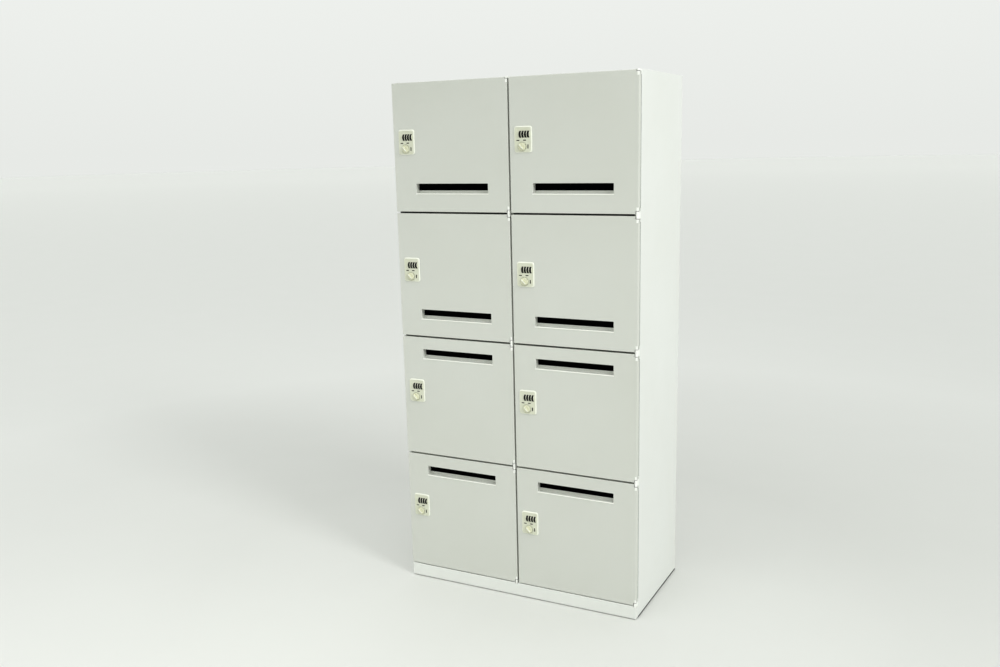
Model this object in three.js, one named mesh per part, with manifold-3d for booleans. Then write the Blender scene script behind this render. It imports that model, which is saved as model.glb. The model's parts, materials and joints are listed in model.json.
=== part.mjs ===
// Eight-door steel locker: two columns of four doors, each with a mail slot and a combination lock.
// Millimetres, +X to the right, +Y to the back, +Z up. The origin is under the middle of the whole locker.

import * as THREE from 'three';
import { mergeVertices } from 'three/addons/utils/BufferGeometryUtils.js';
import Module from 'manifold-3d';

const manifoldLibrary = await Module();
manifoldLibrary.setup();
const { Manifold, Mesh: ManifoldMesh } = manifoldLibrary;

// ---------------------------------------------------------------- driving dimensions

const WIDTH = 900;
const DEPTH = 450; // door fronts to back
const HEIGHT = 1830;
const PLINTH_TOP = 50;
const FLOOR_GAP = 2.5; // lift given by the levelling feet
const ROWS = 4;
const KNOB_PROUD = 13; // the grips stand this far in front of the doors

const SHEET = 1;
const JOINT_GAP = 0.3; // between pieces that are welded or screwed together
const FLANGE = 22; // front flanges of the side panels and of the partition
const BACK_FLANGE = 15;
const LIP = 10;
const CARCASS_SETBACK = 23; // from the door fronts to the carcass flanges

const DOOR_DEPTH = 20;
const DOOR_GAP = 6;
const DOOR_LIP = 12;

const BARREL_RADIUS = 4.8;
const BARREL_INSET = 5; // hinge axis from the door's front and from its right edge
const BRACKET_HALF = 11.5;
const BRACKET_AT_PLINTH = 3.5; // how far the lowest bracket reaches below the plinth's top
const BRACKET_AT_TOP = 6.5; // height of the highest bracket
const KNUCKLE_LENGTH = 11.5;
const KNUCKLE_GAP = 1;
const NOTCH_WIDTH = 11.5;
const KNUCKLE_WELD = 2; // length of each knuckle hidden past its notch
const BARREL_SIDES = 12;
const HALF_BARREL_SIDES = 9; // around the round front of a bracket
const BRACKET_FOOT = 2; // thickness of the part screwed to the carcass
const BRACKET_REACH = 15; // and its reach from the hinge axis
const PIN_RADIUS = 2;
const PIN_REACH = 8;
const PIN_SIDES = 6;
const PIN_BORE_RADIUS = 2.7;
const PIN_END_GAP = 1;

const PLINTH_SHEET = 1.5;

const SLOT_WIDTH = 282;
const SLOT_HEIGHT = 33;
const SLOT_SILL = 9;
const SLOT_FROM_EDGE = 85; // from the column's left side
const SLOT_LOW = 67; // slot's lower edge above the row's lower side, upper two rows
const SLOT_HIGH = 365.5; // the same, lower two rows

const LOCK_X = 53.5; // lock plate's middle from the column's left side
const LOCK_Z = 242.5; // and above the row's lower side
const PLATE_WIDTH = 65;
const PLATE_HEIGHT = 86;
const PLATE_PROUD = 3;
const PLATE_CORNER = 5;
const CASE_WIDTH = 56;
const CASE_HEIGHT = 70;
const CASE_DEPTH = 22; // behind the door's front
const CASE_CLEARANCE = 0.5;
const PLATE_CORNER_FACETS = 2;

const WHEEL_RADIUS = 14;
const WHEEL_WIDTH = 5.6;
const WHEEL_PITCH = 9.8;
const WHEEL_COUNT = 4;
const DIGITS = 10;
const WHEEL_AXIS_DEPTH = 5; // behind the door's front
const WHEELS_X = 4.5; // middle of the dial stack, from the plate's middle
const WHEELS_Z = 16;
const WHEEL_TIP_GAP = 0.5; // between a wheel's corners and the case around it
const AXLE_RADIUS = 3;
const AXLE_END = 2;
const AXLE_SIDES = 8;
const HOOD_RADIUS = 13.2;
const HOOD_SIDE = 3;
const HOOD_SIDES = 12;

const KNOB_X = -4; // knob axis, from the plate's middle
const KNOB_Z = -23.7;
const KNOB_RADIUS = 13.5;
const KNOB_DISC = 2.5;
const KNOB_SIDES = 16;
const GRIP_LENGTH = 25;
const GRIP_WIDTH = 6;
const GRIP_TILT = 45; // degrees, the open position points to the upper left
const SPINDLE_RADIUS = 4;
const SPINDLE_BORE_RADIUS = 4.6;
const SPINDLE_SIDES = 8;
const CAM_START = 28.1; // behind the door's front, 4 mm past the carcass flange
const CAM_THICKNESS = 2.5;
const CAM_LENGTH = 36;
const CAM_WIDTH = 12;

const FOOT_RADIUS = 15;
const FOOT_PAD = 8;
const FOOT_SIDES = 16;
const FOOT_INSET_X = 45;
const FOOT_INSET_Y = 60;
const STUD_RADIUS = 4;
const STUD_SIDES = 8;
const NUT_RADIUS = 9;
const NUT_HEIGHT = 7;
const NUT_SIDES = 6;
const NUT_DROP = 3.5; // from the stud's top to the nut

// ---------------------------------------------------------------- places worked out from them

const FRONT = -(DEPTH - KNOB_PROUD) / 2; // plane of the door fronts
const BACK = FRONT + DEPTH;
const CARCASS = FRONT + CARCASS_SETBACK;
const SIDE = WIDTH / 2;
const INSIDE = SIDE - SHEET - JOINT_GAP;
const ROW_PITCH = (HEIGHT - PLINTH_TOP) / ROWS;
const COLUMN_PITCH = WIDTH / 2;
const RAIL_HALF = 12; // half height of a shelf's front flange
const SHELF_FRONT = CARCASS + SHEET + JOINT_GAP; // shelves sit one sheet behind the flanges
const PANEL_BACK = BACK - SHEET - JOINT_GAP; // rear face of the back panel
const INNER_BACK = PANEL_BACK - SHEET - JOINT_GAP;
const DECK_TOP = PLINTH_TOP + RAIL_HALF;
const TOP_FLANGE_BOTTOM = HEIGHT - 2 * RAIL_HALF - SHEET;
const STACK_LENGTH = WHEEL_PITCH * (WHEEL_COUNT - 1) + WHEEL_WIDTH;

const COLUMNS = [
  { name: 'left', start: -COLUMN_PITCH, hinge: -DOOR_GAP / 2 - BARREL_INSET },
  { name: 'right', start: 0, hinge: SIDE - BARREL_INSET },
];

// ---------------------------------------------------------------- finishes

function material(color, roughness, metalness) {
  return new THREE.MeshStandardMaterial({ color, roughness, metalness });
}

const FINISH = {
  door: material(0xcfd2ca, 0.5, 0),
  cabinet: material(0xe3e7e0, 0.5, 0),
  hinge: material(0xe9ebe4, 0.4, 0.1),
  lock: material(0xe4e4c8, 0.4, 0),
  knob: material(0xe9e8cd, 0.35, 0),
  wheel: material(0x141412, 0.5, 0),
  foot: material(0x8f9294, 0.35, 0.9),
};

// ---------------------------------------------------------------- solids

// Coordinates are rounded to a thousandth, so that faces meant to be level are exactly level.
function toSolid(geometry) {
  const bare = geometry.clone();
  bare.deleteAttribute('normal');
  bare.deleteAttribute('uv');
  const positions = bare.attributes.position.array;
  positions.forEach((value, i) => {
    positions[i] = Math.round(value * 1000) / 1000;
  });
  const merged = mergeVertices(bare, 1e-4);
  return new Manifold(
    new ManifoldMesh({
      numProp: 3,
      vertProperties: new Float32Array(merged.attributes.position.array),
      triVerts: new Uint32Array(merged.index.array),
    }),
  );
}

function toGeometry(solid) {
  const mesh = solid.getMesh();
  const geometry = new THREE.BufferGeometry();
  geometry.setAttribute('position', new THREE.BufferAttribute(mesh.vertProperties, 3));
  geometry.setIndex(new THREE.BufferAttribute(mesh.triVerts, 1));
  geometry.computeVertexNormals();
  return geometry;
}

// A box given by its low and high corners.
function box(low, high) {
  const size = high.map((value, i) => value - low[i]);
  const geometry = new THREE.BoxGeometry(...size);
  geometry.translate(...low.map((value, i) => value + size[i] / 2));
  return toSolid(geometry);
}

const alongX = (geometry) => geometry.rotateZ(-Math.PI / 2);
const alongZ = (geometry) => geometry.rotateX(Math.PI / 2);

// A cylinder along one axis from its starting centre, facing flats squared to the axes.
function cylinder(axis, start, length, radius, sides) {
  const geometry = new THREE.CylinderGeometry(radius, radius, length, sides);
  if (axis === 'x') alongX(geometry).translate(start[0] + length / 2, start[1], start[2]);
  if (axis === 'y') geometry.translate(start[0], start[1] + length / 2, start[2]);
  if (axis === 'z') alongZ(geometry).translate(start[0], start[1], start[2] + length / 2);
  return toSolid(geometry);
}

// A flat outline drawn in the two axes that follow the extrusion axis: y-z along X, x-y along Z.
function extrude(shape, axis, from, to, curveSegments = 6) {
  const depth = to - from;
  const geometry = new THREE.ExtrudeGeometry(shape, { depth, bevelEnabled: false, curveSegments });
  if (axis === 'x') geometry.rotateY(Math.PI / 2).rotateX(Math.PI / 2).translate(from, 0, 0);
  if (axis === 'z') geometry.translate(0, 0, from);
  return toSolid(geometry);
}

const outline = (points) => new THREE.Shape(points.map(([u, v]) => new THREE.Vector2(u, v)));

const join = (solids) => solids.reduce((whole, solid) => whole.add(solid));
const cut = (whole, solids) => solids.reduce((rest, solid) => rest.subtract(solid), whole);

const locker = new THREE.Group();

function place(name, solid, finish) {
  const mesh = new THREE.Mesh(toGeometry(solid), finish);
  mesh.name = name;
  locker.add(mesh);
}

// ---------------------------------------------------------------- cabinet

// Outer skin with a flange turned in at the front and at the back.
function sidePanel(hand) {
  const skin = (SIDE - SHEET) * hand;
  const frontEnd = (SIDE - FLANGE) * hand;
  const backEnd = (SIDE - BACK_FLANGE) * hand;
  const plan = outline([
    [SIDE * hand, CARCASS],
    [SIDE * hand, BACK],
    [backEnd, BACK],
    [backEnd, BACK - SHEET],
    [skin, BACK - SHEET],
    [skin, CARCASS + SHEET],
    [frontEnd, CARCASS + SHEET],
    [frontEnd, CARCASS],
  ]);
  return extrude(plan, 'z', FLOOR_GAP, HEIGHT);
}

// A clearance over one upright of the cabinet, from a given distance off its middle outwards.
function sideCut(hand, inner, y0, y1) {
  const outer = SIDE + SHEET;
  const x = hand < 0 ? [-outer, -inner] : [inner, outer];
  return box([x[0], y0, 0], [x[1], y1, HEIGHT + SHEET]);
}

// Skin between the side panels, with a lipped flange hanging in front and a plain one behind.
function topPanel() {
  const skin = HEIGHT - SHEET;
  const section = outline([
    [CARCASS, HEIGHT],
    [CARCASS, TOP_FLANGE_BOTTOM],
    [CARCASS + LIP, TOP_FLANGE_BOTTOM],
    [CARCASS + LIP, TOP_FLANGE_BOTTOM + SHEET],
    [CARCASS + SHEET, TOP_FLANGE_BOTTOM + SHEET],
    [CARCASS + SHEET, skin],
    [BACK - SHEET, skin],
    [BACK - SHEET, skin - BACK_FLANGE],
    [BACK, skin - BACK_FLANGE],
    [BACK, HEIGHT],
  ]);
  const corners = [-1, 1].flatMap((hand) => [
    sideCut(hand, SIDE - FLANGE - JOINT_GAP, CARCASS - SHEET, SHELF_FRONT),
    sideCut(hand, SIDE - BACK_FLANGE - JOINT_GAP, BACK - SHEET - JOINT_GAP, BACK + SHEET),
  ]);
  return cut(extrude(section, 'x', -INSIDE, INSIDE), corners);
}

// Deck of the lowest compartments, with a flange reaching down behind the plinth.
function bottomPanel() {
  const flangeBottom = PLINTH_TOP / 2;
  const deck = DECK_TOP - SHEET;
  const section = outline([
    [CARCASS, DECK_TOP],
    [CARCASS, flangeBottom],
    [CARCASS + SHEET, flangeBottom],
    [CARCASS + SHEET, deck],
    [INNER_BACK - SHEET, deck],
    [INNER_BACK - SHEET, deck - BACK_FLANGE],
    [INNER_BACK, deck - BACK_FLANGE],
    [INNER_BACK, DECK_TOP],
  ]);
  const inner = SIDE - FLANGE - JOINT_GAP;
  const corners = [-1, 1].map((hand) => sideCut(hand, inner, CARCASS - SHEET, SHELF_FRONT));
  return cut(extrude(section, 'x', -INSIDE, INSIDE), corners);
}

function backPanel() {
  const top = HEIGHT - SHEET - JOINT_GAP;
  return box([-INSIDE, PANEL_BACK - SHEET, FLOOR_GAP], [INSIDE, PANEL_BACK, top]);
}

// Double-skin web between the columns with a wide front flange.
function centrePartition() {
  const plan = outline([
    [-FLANGE, CARCASS],
    [FLANGE, CARCASS],
    [FLANGE, CARCASS + SHEET],
    [SHEET, CARCASS + SHEET],
    [SHEET, INNER_BACK],
    [-SHEET, INNER_BACK],
    [-SHEET, CARCASS + SHEET],
    [-FLANGE, CARCASS + SHEET],
  ]);
  const web = extrude(plan, 'z', DECK_TOP + JOINT_GAP, HEIGHT - SHEET - JOINT_GAP);
  const underTopFlange = box(
    [-2 * FLANGE, CARCASS - SHEET, TOP_FLANGE_BOTTOM - JOINT_GAP],
    [2 * FLANGE, CARCASS + LIP + JOINT_GAP, HEIGHT],
  );
  return cut(web, [underTopFlange]);
}

// One shelf: deck, lipped front flange and a short flange turned down at the back.
function shelf(column, level) {
  const middle = PLINTH_TOP + level * ROW_PITCH;
  const top = middle + RAIL_HALF;
  const bottom = middle - RAIL_HALF;
  const section = outline([
    [SHELF_FRONT, top],
    [SHELF_FRONT, bottom],
    [SHELF_FRONT + LIP, bottom],
    [SHELF_FRONT + LIP, bottom + SHEET],
    [SHELF_FRONT + SHEET, bottom + SHEET],
    [SHELF_FRONT + SHEET, top - SHEET],
    [INNER_BACK - SHEET, top - SHEET],
    [INNER_BACK - SHEET, top - BACK_FLANGE],
    [INNER_BACK, top - BACK_FLANGE],
    [INNER_BACK, top],
  ]);
  const [x0, x1] = column.start < 0 ? [-INSIDE, -SHEET - JOINT_GAP] : [SHEET + JOINT_GAP, INSIDE];
  return extrude(section, 'x', x0, x1);
}

// Channel that closes the front below the doors, level with them, notched for the lowest hinge brackets.
function basePlinth() {
  const back = CARCASS - JOINT_GAP;
  const shell = box([-SIDE, FRONT, FLOOR_GAP], [SIDE, back, PLINTH_TOP]);
  const hollow = box(
    [-SIDE + PLINTH_SHEET, FRONT + PLINTH_SHEET, FLOOR_GAP + PLINTH_SHEET],
    [SIDE - PLINTH_SHEET, back + SHEET, PLINTH_TOP - PLINTH_SHEET],
  );
  const notchBottom = PLINTH_TOP - BRACKET_AT_PLINTH - JOINT_GAP;
  const notches = COLUMNS.map(({ hinge }) => {
    const low = [hinge - BARREL_INSET - JOINT_GAP, FRONT - SHEET, notchBottom];
    return box(low, [hinge + BARREL_INSET + SHEET, back + SHEET, PLINTH_TOP + SHEET]);
  });
  return cut(shell, [hollow, ...notches]);
}

// Pad on the floor, threaded stud and lock nut under the lowest deck.
function levellingFoot(x, y) {
  const studTop = DECK_TOP - SHEET - JOINT_GAP;
  const studStart = FOOT_PAD / 2;
  const nutBottom = studTop - NUT_DROP - NUT_HEIGHT;
  return join([
    cylinder('z', [x, y, 0], FOOT_PAD, FOOT_RADIUS, FOOT_SIDES),
    cylinder('z', [x, y, studStart], studTop - studStart, STUD_RADIUS, STUD_SIDES),
    cylinder('z', [x, y, nutBottom], NUT_HEIGHT, NUT_RADIUS, NUT_SIDES),
  ]);
}

// ---------------------------------------------------------------- hinges

// Height range of the bracket at a level: 0 is the plinth, ROWS is the top.
function bracketRange(level) {
  const middle = PLINTH_TOP + level * ROW_PITCH;
  const below = level === 0 ? BRACKET_AT_PLINTH : BRACKET_HALF;
  if (level === ROWS) return [middle - BRACKET_AT_TOP, middle - JOINT_GAP];
  return [middle - below, middle + BRACKET_HALF];
}

// Barrel with its pin, an arm back to the carcass and a foot screwed to the carcass flange.
function hingeBracket(column, level) {
  const x = column.hinge;
  const y = FRONT + BARREL_INSET;
  const [low, high] = bracketRange(level);
  const armLeft = x - PIN_RADIUS;
  const armRight = x + BARREL_RADIUS - JOINT_GAP;
  const armBack = CARCASS - JOINT_GAP;
  const footFront = armBack - BRACKET_FOOT;
  const footLeft = x - BRACKET_REACH;

  const meets = (side) => Math.acos((side - x) / BARREL_RADIUS);
  const plan = new THREE.Shape();
  plan.absarc(x, y, BARREL_RADIUS, meets(armLeft), meets(armRight) + 2 * Math.PI, false);
  plan.lineTo(armRight, armBack);
  plan.lineTo(footLeft, armBack);
  plan.lineTo(footLeft, footFront);
  plan.lineTo(armLeft, footFront);
  const body = extrude(plan, 'z', low, high, HALF_BARREL_SIDES);

  const pinLow = level === 0 ? low + SHEET : low - PIN_REACH;
  const pinHigh = level === ROWS ? high - SHEET : high + PIN_REACH;
  const pin = cylinder('z', [x, y, pinLow], pinHigh - pinLow, PIN_RADIUS, PIN_SIDES);
  const plinthEdge = box(
    [footLeft - SHEET, footFront - SHEET, 0],
    [x - BARREL_INSET, CARCASS, PLINTH_TOP + JOINT_GAP],
  );
  return cut(join([body, pin]), level === 0 ? [plinthEdge] : []);
}

// ---------------------------------------------------------------- doors

// Knuckle welded into a door's notched corner, starting at its free end and running up or down from it,
// with a blind bore for the bracket's pin. The bore starts clear of the free end, so that it opens there.
function knuckle(x, end, direction) {
  const y = FRONT + BARREL_INSET;
  const length = KNUCKLE_LENGTH + KNUCKLE_WELD;
  const boreDepth = PIN_REACH - KNUCKLE_GAP + PIN_END_GAP;
  const boreLength = boreDepth + SHEET;
  const low = direction > 0 ? end : end - length;
  const boreLow = direction > 0 ? end - SHEET : end - boreDepth;
  return {
    body: cylinder('z', [x, y, low], length, BARREL_RADIUS, BARREL_SIDES),
    bore: cylinder('z', [x, y, boreLow], boreLength, PIN_BORE_RADIUS, PIN_SIDES),
  };
}

// Corner notch of a door that leaves room for a hinge, down to or up to the given height.
function hingeNotch(right, low, high) {
  const rear = FRONT + DOOR_DEPTH;
  return box([right - NOTCH_WIDTH, FRONT - SHEET, low], [right + SHEET, rear + SHEET, high]);
}

// Recessed frame of the mail slot: four walls as deep as the door and a sill across the foot of its rear.
function slotFrame(x0, z0) {
  const x1 = x0 + SLOT_WIDTH;
  const z1 = z0 + SLOT_HEIGHT;
  const sill = z0 + SLOT_SILL;
  const rear = FRONT + DOOR_DEPTH;
  const walls = box([x0 - SHEET, FRONT + SHEET / 2, z0 - SHEET], [x1 + SHEET, rear, z1 + SHEET]);
  const opening = outline([
    [FRONT - SHEET, z0],
    [rear - SHEET, z0],
    [rear - SHEET, sill],
    [rear + SHEET, sill],
    [rear + SHEET, z1],
    [FRONT - SHEET, z1],
  ]);
  return { walls, opening: extrude(opening, 'x', x0, x1) };
}

// Folded pan with lips round its rear, a mail slot and a lock cut-out. Its right-hand corners are notched
// and carry the hinge knuckles.
function door(column, row) {
  const level = ROWS - 1 - row; // the level of the door's lower side
  const base = PLINTH_TOP + level * ROW_PITCH;
  const x0 = column.start < 0 ? -SIDE : DOOR_GAP / 2;
  const x1 = column.start < 0 ? -DOOR_GAP / 2 : SIDE;
  const z0 = base + DOOR_GAP / 2;
  const z1 = base + ROW_PITCH - DOOR_GAP / 2;
  const rear = FRONT + DOOR_DEPTH;
  const pan = box([x0, FRONT, z0], [x1, rear, z1]);
  const hollow = box([x0 + SHEET, FRONT + SHEET, z0 + SHEET], [x1 - SHEET, rear - SHEET, z1 - SHEET]);
  const rearOpening = box(
    [x0 + DOOR_LIP, rear - 2 * SHEET, z0 + DOOR_LIP],
    [x1 - DOOR_LIP, rear + SHEET, z1 - DOOR_LIP],
  );

  const lowEnd = bracketRange(level)[1] + KNUCKLE_GAP;
  const highEnd = bracketRange(level + 1)[0] - KNUCKLE_GAP;
  const notches = [
    hingeNotch(x1, z0 - SHEET, lowEnd + KNUCKLE_LENGTH),
    hingeNotch(x1, highEnd - KNUCKLE_LENGTH, z1 + SHEET),
  ];
  const lower = knuckle(column.hinge, lowEnd, 1);
  const upper = knuckle(column.hinge, highEnd, -1);

  const slot = slotFrame(column.start + SLOT_FROM_EDGE, base + (row < 2 ? SLOT_LOW : SLOT_HIGH));
  const lockX = column.start + LOCK_X;
  const lockZ = base + LOCK_Z;
  const holeX = CASE_WIDTH / 2 + CASE_CLEARANCE;
  const holeZ = CASE_HEIGHT / 2 + CASE_CLEARANCE;
  const lockHole = box(
    [lockX - holeX, FRONT - SHEET, lockZ - holeZ],
    [lockX + holeX, FRONT + 2 * SHEET, lockZ + holeZ],
  );

  const sheetWork = cut(pan, [hollow, rearOpening, ...notches, lockHole]);
  const welded = join([sheetWork, slot.walls, lower.body, upper.body]);
  return cut(welded, [slot.opening, lower.bore, upper.bore]);
}

// ---------------------------------------------------------------- locks

const lockPlace = (column, row) => ({
  x: column.start + LOCK_X,
  z: PLINTH_TOP + (ROWS - 1 - row) * ROW_PITCH + LOCK_Z,
});

// Left side of a wheel, counted from the left.
function wheelStart(x, i) {
  const middle = x + WHEELS_X + (i - (WHEEL_COUNT - 1) / 2) * WHEEL_PITCH;
  return middle - WHEEL_WIDTH / 2;
}

// Face plate with rounded corners, standing off the door by the joint gap.
function platePanel(x, z) {
  const w = PLATE_WIDTH / 2;
  const h = PLATE_HEIGHT / 2;
  const r = PLATE_CORNER;
  const face = new THREE.Shape();
  face.absarc(w - r, -h + r, r, -Math.PI / 2, 0);
  face.absarc(w - r, h - r, r, 0, Math.PI / 2);
  face.absarc(-w + r, h - r, r, Math.PI / 2, Math.PI);
  face.absarc(-w + r, -h + r, r, Math.PI, 1.5 * Math.PI);
  const geometry = new THREE.ExtrudeGeometry(face, {
    depth: PLATE_PROUD - JOINT_GAP,
    bevelEnabled: false,
    curveSegments: PLATE_CORNER_FACETS,
  });
  geometry.rotateX(Math.PI / 2).translate(x, FRONT - JOINT_GAP, z);
  return toSolid(geometry);
}

// Face plate on the door, its case through the door, and a ribbed hood with a slot for each wheel.
function lockHousing({ x, z }) {
  const axisY = FRONT + WHEEL_AXIS_DEPTH;
  const axisZ = z + WHEELS_Z;
  const stackStart = wheelStart(x, 0);
  const hoodStart = [stackStart - HOOD_SIDE, axisY, axisZ];
  const shell = join([
    platePanel(x, z),
    box(
      [x - CASE_WIDTH / 2, FRONT - PLATE_PROUD / 2, z - CASE_HEIGHT / 2],
      [x + CASE_WIDTH / 2, FRONT + CASE_DEPTH, z + CASE_HEIGHT / 2],
    ),
    cylinder('x', hoodStart, STACK_LENGTH + 2 * HOOD_SIDE, HOOD_RADIUS, HOOD_SIDES),
  ]);
  const slotWidth = WHEEL_WIDTH + 2 * JOINT_GAP;
  const slotReach = WHEEL_RADIUS + WHEEL_TIP_GAP;
  const wheelSlots = Array.from({ length: WHEEL_COUNT }, (_, i) => {
    const start = wheelStart(x, i) - JOINT_GAP;
    const low = [start, axisY - slotReach, axisZ - slotReach];
    return box(low, [start + slotWidth, axisY + slotReach, axisZ + slotReach]);
  });
  const boreStart = [stackStart - AXLE_END - JOINT_GAP, axisY, axisZ];
  const boreLength = STACK_LENGTH + 2 * (AXLE_END + JOINT_GAP);
  const axleBore = cylinder('x', boreStart, boreLength, AXLE_RADIUS + JOINT_GAP, AXLE_SIDES);
  const spindleStart = [x + KNOB_X, FRONT - 2 * PLATE_PROUD, z + KNOB_Z];
  const throughCase = CASE_DEPTH + 3 * PLATE_PROUD;
  const spindleBore = cylinder('y', spindleStart, throughCase, SPINDLE_BORE_RADIUS, SPINDLE_SIDES);
  return cut(shell, [...wheelSlots, axleBore, spindleBore]);
}

// The four number wheels on their axle, each with ten flats for its ten digits.
function dialStack({ x, z }) {
  const axisY = FRONT + WHEEL_AXIS_DEPTH;
  const axisZ = z + WHEELS_Z;
  const wheels = Array.from({ length: WHEEL_COUNT }, (_, i) =>
    cylinder('x', [wheelStart(x, i), axisY, axisZ], WHEEL_WIDTH, WHEEL_RADIUS, DIGITS),
  );
  const axleStart = [wheelStart(x, 0) - AXLE_END, axisY, axisZ];
  const axle = cylinder('x', axleStart, STACK_LENGTH + 2 * AXLE_END, AXLE_RADIUS, AXLE_SIDES);
  return join([axle, ...wheels]);
}

// Bar across the knob's disc, turned so that it points to the upper left.
function gripBar(x, z, back) {
  const depth = back - (FRONT - KNOB_PROUD);
  const geometry = new THREE.BoxGeometry(GRIP_LENGTH, depth, GRIP_WIDTH);
  geometry.rotateY(THREE.MathUtils.degToRad(GRIP_TILT));
  geometry.translate(x, back - depth / 2, z);
  return toSolid(geometry);
}

// Grip and disc in front of the plate, spindle through the case, and a cam behind it. The cam hangs down
// when the lock is open.
function lockKnob({ x, z }) {
  const knobX = x + KNOB_X;
  const knobZ = z + KNOB_Z;
  const discBack = FRONT - PLATE_PROUD - JOINT_GAP;
  const camStart = FRONT + CAM_START;
  const spindleStart = discBack - KNOB_DISC / 2;
  const spindleLength = camStart + 2 * CAM_THICKNESS - spindleStart;
  return join([
    cylinder('y', [knobX, discBack - KNOB_DISC, knobZ], KNOB_DISC, KNOB_RADIUS, KNOB_SIDES),
    gripBar(knobX, knobZ, spindleStart),
    cylinder('y', [knobX, spindleStart, knobZ], spindleLength, SPINDLE_RADIUS, SPINDLE_SIDES),
    box(
      [knobX - CAM_WIDTH / 2, camStart, knobZ - CAM_LENGTH],
      [knobX + CAM_WIDTH / 2, camStart + CAM_THICKNESS, knobZ + CAM_WIDTH / 2],
    ),
  ]);
}

// ---------------------------------------------------------------- assembly

place('side_panel_left', sidePanel(-1), FINISH.cabinet);
place('side_panel_right', sidePanel(1), FINISH.cabinet);
place('top_panel', topPanel(), FINISH.cabinet);
place('bottom_panel', bottomPanel(), FINISH.cabinet);
place('back_panel', backPanel(), FINISH.cabinet);
place('centre_partition', centrePartition(), FINISH.cabinet);
place('base_plinth', basePlinth(), FINISH.door);

for (const [side, x] of [['left', -SIDE + FOOT_INSET_X], ['right', SIDE - FOOT_INSET_X]]) {
  place(`levelling_foot_front_${side}`, levellingFoot(x, CARCASS + FOOT_INSET_Y), FINISH.foot);
  place(`levelling_foot_rear_${side}`, levellingFoot(x, BACK - FOOT_INSET_Y), FINISH.foot);
}

for (const column of COLUMNS) {
  for (let level = 1; level < ROWS; level += 1) {
    place(`shelf_${column.name}_${ROWS - level}`, shelf(column, level), FINISH.cabinet);
  }
  for (let level = 0; level <= ROWS; level += 1) {
    place(`hinge_bracket_${column.name}_${ROWS - level + 1}`, hingeBracket(column, level), FINISH.hinge);
  }
  for (let row = 0; row < ROWS; row += 1) {
    const label = `${column.name}_${row + 1}`;
    const lock = lockPlace(column, row);
    place(`door_${label}`, door(column, row), FINISH.door);
    place(`lock_housing_${label}`, lockHousing(lock), FINISH.lock);
    place(`number_wheels_${label}`, dialStack(lock), FINISH.wheel);
    place(`lock_knob_${label}`, lockKnob(lock), FINISH.knob);
  }
}

export default locker;
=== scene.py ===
"""Looks of an eight-door mail locker with combination locks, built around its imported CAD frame.

Metres, in the CAD's frame: +X to the right, +Y to the back, +Z up, floor at 0.
"""

import json
import math

import bmesh
import bpy
from mathutils import Matrix, Vector


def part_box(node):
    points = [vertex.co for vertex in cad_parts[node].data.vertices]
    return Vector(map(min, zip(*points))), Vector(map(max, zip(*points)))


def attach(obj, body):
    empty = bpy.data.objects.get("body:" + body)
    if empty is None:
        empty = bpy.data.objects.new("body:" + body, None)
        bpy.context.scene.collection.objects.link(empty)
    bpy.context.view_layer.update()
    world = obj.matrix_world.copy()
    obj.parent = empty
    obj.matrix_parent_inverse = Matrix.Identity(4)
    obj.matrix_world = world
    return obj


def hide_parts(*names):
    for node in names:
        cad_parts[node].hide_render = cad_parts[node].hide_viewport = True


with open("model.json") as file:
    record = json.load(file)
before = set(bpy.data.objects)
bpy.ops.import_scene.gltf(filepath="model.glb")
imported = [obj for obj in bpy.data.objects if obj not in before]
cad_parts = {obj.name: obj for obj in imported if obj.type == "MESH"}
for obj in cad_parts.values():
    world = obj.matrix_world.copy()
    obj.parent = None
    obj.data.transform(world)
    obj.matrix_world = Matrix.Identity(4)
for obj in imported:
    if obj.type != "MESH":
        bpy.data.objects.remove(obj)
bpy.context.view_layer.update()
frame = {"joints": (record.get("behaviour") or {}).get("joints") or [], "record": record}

MM = 0.001
COLUMNS = ("left", "right")
ROWS = (1, 2, 3, 4)  # 1 is the top row
LABELS = [f"{column}_{row}" for column in COLUMNS for row in ROWS]

# -------- sizes

SHEET = 1.0 * MM
HALF = SHEET / 2
CLEARANCE = 0.3 * MM
FOLD = 0.9 * MM  # inner radius of a fold in the sheet
SHARP_ANGLE = math.radians(38)  # edges that turn more than this stay crisp
RAW_EDGE = 0.22 * MM  # rounding of a cut edge under its paint
DOOR_LIP = 12 * MM
FOOT_LIP = 10 * MM  # return at the foot of a front flange
REAR_LIP = 15 * MM  # rear flanges of the side panels and the shelves
PANEL_LIP = 16 * MM  # rear flanges of the top and bottom panels
CORNER_DEPTH = 1.3 * MM  # of the cuts where two panels' flanges meet
BOTTOM_CORNER = 21 * MM  # width of those cuts in the bottom panel
RIB_PITCH = 170 * MM
RIB_HALF = 30 * MM
RIB_SLOPE = 6 * MM
RIB_RISE = 0.9 * MM
PLINTH_WALL = 1.5 * MM
STRIP_THICKNESS = 1.4 * MM
NOTCH_WIDTH = 10.1 * MM
KNUCKLE_LENGTH = 11.5 * MM
KNUCKLE_RADIUS = 4.8 * MM
KNUCKLE_GAP = 1.0 * MM
ARM_LEFT = 2 * MM  # from the hinge's axis to the left face of the bracket's arm
ARM_RIGHT = 4.5 * MM
FOOT_THICKNESS = 2 * MM
PIN_REACH = 8 * MM
PIN_RADIUS = 2 * MM
PIN_BORE = 2.3 * MM

SLOT_EDGE = 1.6 * MM  # rounding of the slot's front edge
SLOT_SIDE = 1 * MM  # the stated opening is this much narrower than the slot at each side
SLOT_SILL = 10 * MM  # and starts this much above the slot's floor
SILL_HEIGHT = 9 * MM
SLOT_TRIM = Vector((0, 1.2, 3.2)) * MM  # how far the trim under the slot stands out, and its height
GUIDE_SIDE = 3 * MM  # the letter guide is this much wider and higher than the slot
GUIDE_WALL = 1.5 * MM
SEAL_HEIGHT = 3.2 * MM  # dark strip between a side panel and the floor, painting the shade under the panel
SEAL_OVERLAP = 0.4 * MM
SEAL_INSET = 0.3 * MM
SEAL_WIDTH = 5 * MM

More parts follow.
